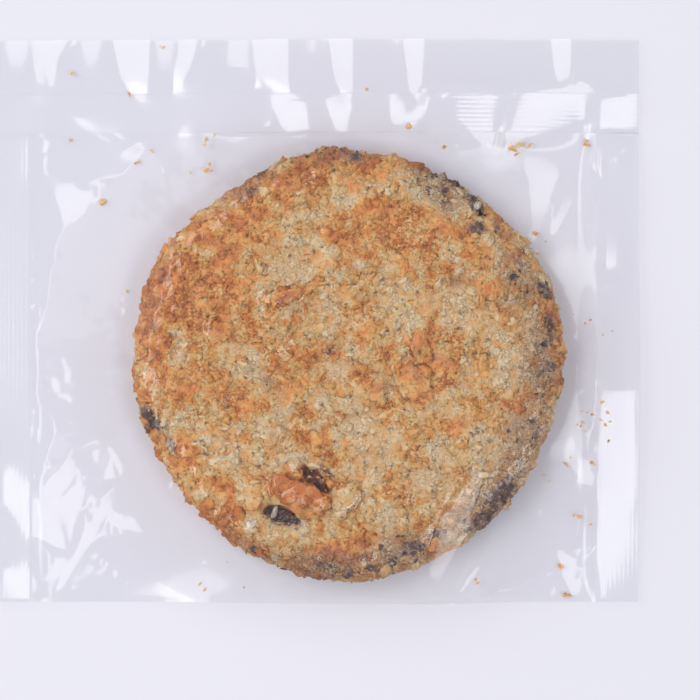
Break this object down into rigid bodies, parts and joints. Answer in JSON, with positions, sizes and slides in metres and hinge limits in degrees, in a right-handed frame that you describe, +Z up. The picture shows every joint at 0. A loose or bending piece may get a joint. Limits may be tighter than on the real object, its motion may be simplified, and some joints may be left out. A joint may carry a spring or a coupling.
{
  "type": "breaded squid cutlet",
  "caption": "Round fried cutlet with a rough golden crumb coat, lying in a clear film bag that has side seals, a crimped top seal and a loose header above it.",
  "frame": {"origin": "under the middle of the bag, on the surface that it lies on", "axes": "+Z up, +X along the bag's width, +Y towards its top seal and header"},
  "size_m": [0.15, 0.1292, 0.0171],
  "materials": {
    "crumb_coat": "rough fried bread crumbs, golden with paler and browner ones",
    "clear_film": "clear glossy packing film"
  },
  "bodies": {
    "root": {"cutlet": "crumb_coat", "bag": "clear_film"}
  },
  "joints": []
}
